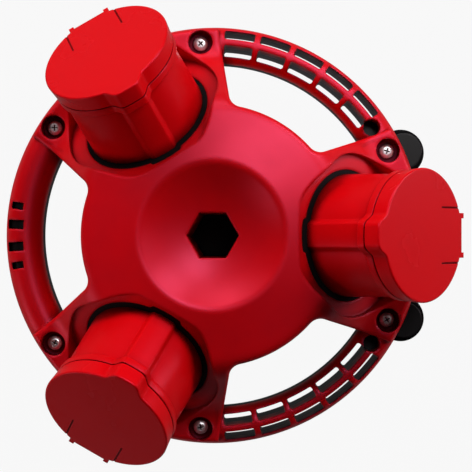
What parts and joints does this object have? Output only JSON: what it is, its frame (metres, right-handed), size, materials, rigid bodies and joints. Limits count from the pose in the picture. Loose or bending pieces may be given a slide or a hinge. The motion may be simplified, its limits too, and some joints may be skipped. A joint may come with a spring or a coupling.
{
  "type": "three-outlet portable power distributor",
  "caption": "Round red portable power distributor for fire brigades: ring housing with a grip, dished hub and three tilted five-pole sockets with sprung lids.",
  "frame": {"origin": "point where the hub axis meets the flat back that the distributor lies on", "axes": "+Z along the hub axis, up from the floor through the dish; +X through socket 1, opposite the grip; +Y a quarter turn left of +X"},
  "size_m": [0.322, 0.312, 0.1531],
  "materials": {
    "red_housing": "satin moulded red plastic",
    "red_socket": "satin moulded red plastic",
    "red_lid": "satin moulded red plastic",
    "black_housing": "fine-grained black plastic",
    "gland_plastic": "moulded black nylon",
    "carrier_plastic": "moulded dark grey plastic",
    "block_plastic": "moulded light grey plastic",
    "seal_rubber": "matt black rubber",
    "foot_rubber": "matt black rubber",
    "screw_steel": "bright zinc plate",
    "spring_steel": "bright stainless wire",
    "contact_brass": "turned brass"
  },
  "bodies": {
    "housing": {"front_shell": "red_housing", "rear_shell": "black_housing", "housing_seal": "seal_rubber", "housing_screws": "screw_steel", "socket_body_1": "red_socket", "socket_body_2": "red_socket", "socket_body_3": "red_socket", "socket_gasket_1": "seal_rubber", "socket_gasket_2": "seal_rubber", "socket_gasket_3": "seal_rubber", "contact_carrier_1": "carrier_plastic", "contact_carrier_2": "carrier_plastic", "contact_carrier_3": "carrier_plastic", "contacts_1": "contact_brass", "contacts_2": "contact_brass", "contacts_3": "contact_brass", "hinge_pin_1": "spring_steel", "hinge_pin_2": "spring_steel", "hinge_pin_3": "spring_steel", "hinge_spring_1": "spring_steel", "hinge_spring_2": "spring_steel", "hinge_spring_3": "spring_steel", "socket_screws": "screw_steel", "terminal_block": "block_plastic", "terminal_clamps": "contact_brass", "terminal_screws": "screw_steel", "bumper_left": "foot_rubber", "bumper_right": "foot_rubber", "bumper_screws": "screw_steel", "gland_body": "gland_plastic", "gland_seal": "seal_rubber", "gland_cap": "gland_plastic"},
    "lid_body_1": {"lid_1": "red_lid", "lid_seal_1": "seal_rubber"},
    "lid_body_2": {"lid_2": "red_lid", "lid_seal_2": "seal_rubber"},
    "lid_body_3": {"lid_3": "red_lid", "lid_seal_3": "seal_rubber"}
  },
  "joints": [
    {"name": "lid_hinge_1", "type": "hinge", "parent": "housing", "child": "lid_body_1", "pos_m": [0.16331, 0, 0.07782], "axis": [0, 1, 0], "range_deg": [0, 110], "stiffness_Nm_per_rad": 0.05, "springref_deg": -68.75},
    {"name": "lid_hinge_2", "type": "hinge", "parent": "housing", "child": "lid_body_2", "pos_m": [-0.08166, 0.14143, 0.07782], "axis": [-0.866, -0.5, 0], "range_deg": [0, 110], "stiffness_Nm_per_rad": 0.05, "springref_deg": -68.75},
    {"name": "lid_hinge_3", "type": "hinge", "parent": "housing", "child": "lid_body_3", "pos_m": [-0.08166, -0.14143, 0.07782], "axis": [0.866, -0.5, 0], "range_deg": [0, 110], "stiffness_Nm_per_rad": 0.05, "springref_deg": -68.75}
  ]
}
